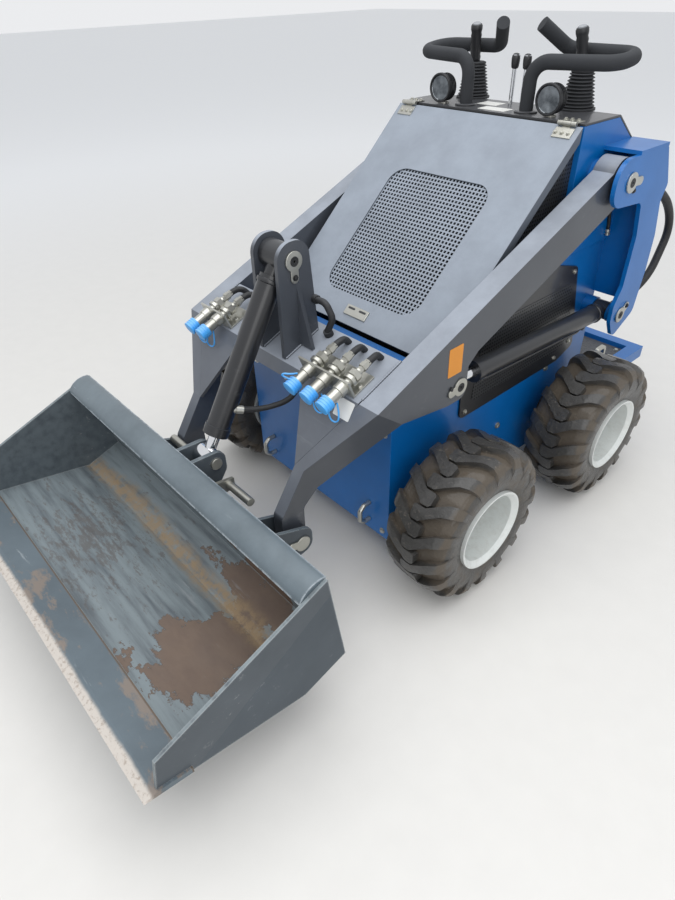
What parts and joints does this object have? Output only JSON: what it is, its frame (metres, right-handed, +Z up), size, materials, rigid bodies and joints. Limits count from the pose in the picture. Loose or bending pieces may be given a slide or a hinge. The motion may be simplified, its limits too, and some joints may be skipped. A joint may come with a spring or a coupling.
{
  "type": "compact walk-behind skid steer loader",
  "caption": "Compact stand-behind wheeled skid steer loader with lift arms, tilting bucket, opening hood and hydraulic cylinders that follow the arms.",
  "frame": {"origin": "on the ground, at the middle of the machine's length and width", "axes": "+X to the machine's left, +Y to its rear, +Z up; the bucket faces -Y"},
  "size_m": [1.106, 2.248, 1.3148],
  "materials": {
    "blue_paint": "gloss blue enamel",
    "dark_paint": "satin dark grey powder coat",
    "black_paint": "satin black",
    "bucket_paint": "slate grey, scuffed and rusted inside",
    "worn_steel": "scraped bare edge",
    "engine_grey": "dull cast",
    "cast_black": "dull black",
    "cylinder_black": "gloss black",
    "chrome": "polished",
    "zinc": "zinc plated",
    "tyre": "muddy black rubber",
    "rim_silver": "silver",
    "foam": "black foam sleeve",
    "black_rubber": "moulded rubber",
    "cap_blue": "moulded plastic",
    "black_plastic": "moulded"
  },
  "bodies": {
    "chassis": {"chassis_tub": "blue_paint", "engine": "engine_grey", "side_panels": "black_paint", "side_meshes": "black_paint", "console": "blue_paint", "control_deck": "dark_paint", "rear_post_left": "blue_paint", "rear_post_right": "blue_paint", "post_pins": "zinc", "step_frame": "blue_paint", "step_plate": "dark_paint", "tie_rings": "zinc", "wheel_motors": "cast_black", "grab_bars": "foam", "joysticks": "black_rubber", "lamps": "black_plastic", "levers": "chrome", "deck_hinges": "zinc"},
    "hood": {"hood": "dark_paint", "hood_grille": "black_paint", "hood_hinges": "zinc", "hood_latch": "zinc"},
    "lift_arms": {"lift_arm_left": "dark_paint", "lift_arm_right": "dark_paint", "lift_pins": "zinc", "cross_member": "dark_paint", "tilt_tower": "dark_paint", "tilt_pin": "zinc", "couplers": "zinc", "coupler_caps": "cap_blue", "tower_hose": "black_rubber"},
    "bucket": {"bucket_shell": "bucket_paint", "cutting_edge": "worn_steel", "bucket_brackets": "black_paint", "bucket_pins": "zinc", "lock_bars": "zinc"},
    "tilt_barrel": {"tilt_barrel": "cylinder_black"},
    "tilt_rod": {"tilt_rod": "chrome"},
    "wheel_front_left": {"tyre_front_left": "tyre", "rim_front_left": "rim_silver"},
    "wheel_front_right": {"tyre_front_right": "tyre", "rim_front_right": "rim_silver"},
    "wheel_rear_left": {"tyre_rear_left": "tyre", "rim_rear_left": "rim_silver"},
    "wheel_rear_right": {"tyre_rear_right": "tyre", "rim_rear_right": "rim_silver"},
    "lift_barrel_left": {"lift_barrel_left": "cylinder_black"},
    "lift_rod_left": {"lift_rod_left": "chrome"},
    "lift_barrel_right": {"lift_barrel_right": "cylinder_black"},
    "lift_rod_right": {"lift_rod_right": "chrome"}
  },
  "joints": [
    {"name": "spin_front_left", "type": "hinge", "parent": "chassis", "child": "wheel_front_left", "pos_m": [0.45, -0.105, 0.228], "axis": [1, 0, 0], "continuous": true},
    {"name": "spin_front_right", "type": "hinge", "parent": "chassis", "child": "wheel_front_right", "pos_m": [-0.45, -0.105, 0.228], "axis": [1, 0, 0], "continuous": true},
    {"name": "spin_rear_left", "type": "hinge", "parent": "chassis", "child": "wheel_rear_left", "pos_m": [0.45, 0.525, 0.228], "axis": [1, 0, 0], "continuous": true},
    {"name": "spin_rear_right", "type": "hinge", "parent": "chassis", "child": "wheel_rear_right", "pos_m": [-0.45, 0.525, 0.228], "axis": [1, 0, 0], "continuous": true},
    {"name": "arm_lift", "type": "hinge", "parent": "chassis", "child": "lift_arms", "pos_m": [0, 0.512, 0.968], "axis": [-1, 0, 0], "range_deg": [-7, 75]},
    {"name": "bucket_tilt", "type": "hinge", "parent": "lift_arms", "child": "bucket", "pos_m": [0, -0.527, 0.275], "axis": [1, 0, 0], "range_deg": [-8, 115]},
    {"name": "hood_open", "type": "hinge", "parent": "chassis", "child": "hood", "pos_m": [0, 0.3973, 1.1052], "axis": [-1, 0, 0], "range_deg": [0, 70]},
    {"name": "lift_swing_left", "type": "hinge", "parent": "chassis", "child": "lift_barrel_left", "pos_m": [0.356, 0.652, 0.555], "axis": [-1, 0, 0], "range_deg": [-4.93, 50.93]},
    {"name": "lift_slide_left", "type": "slide", "parent": "lift_barrel_left", "child": "lift_rod_left", "axis": [0, -0.9982, 0.0601], "range_m": [-0.03522, 0.36763]},
    {"name": "lift_swing_right", "type": "hinge", "parent": "chassis", "child": "lift_barrel_right", "pos_m": [-0.356, 0.652, 0.555], "axis": [-1, 0, 0], "range_deg": [-4.93, 50.93]},
    {"name": "lift_slide_right", "type": "slide", "parent": "lift_barrel_right", "child": "lift_rod_right", "axis": [0, -0.9982, 0.0601], "range_m": [-0.03522, 0.36763]},
    {"name": "tilt_swing", "type": "hinge", "parent": "lift_arms", "child": "tilt_barrel", "pos_m": [0, -0.327, 0.89], "axis": [1, 0, 0], "range_deg": [-0.82, 9.17]},
    {"name": "tilt_slide", "type": "slide", "parent": "tilt_barrel", "child": "tilt_rod", "axis": [0, -0.5256, -0.8507], "range_m": [-0.02118, 0.29113]}
  ],
  "couplings": [
    {"joint": "lift_swing_left", "follows": "arm_lift", "ratio": 0.67641},
    {"joint": "lift_slide_left", "follows": "arm_lift", "m_per_rad": 0.28008},
    {"joint": "lift_swing_right", "follows": "arm_lift", "ratio": 0.67641},
    {"joint": "lift_slide_right", "follows": "arm_lift", "m_per_rad": 0.28008},
    {"joint": "tilt_swing", "follows": "bucket_tilt", "ratio": 0.078},
    {"joint": "tilt_slide", "follows": "bucket_tilt", "m_per_rad": 0.14455}
  ]
}
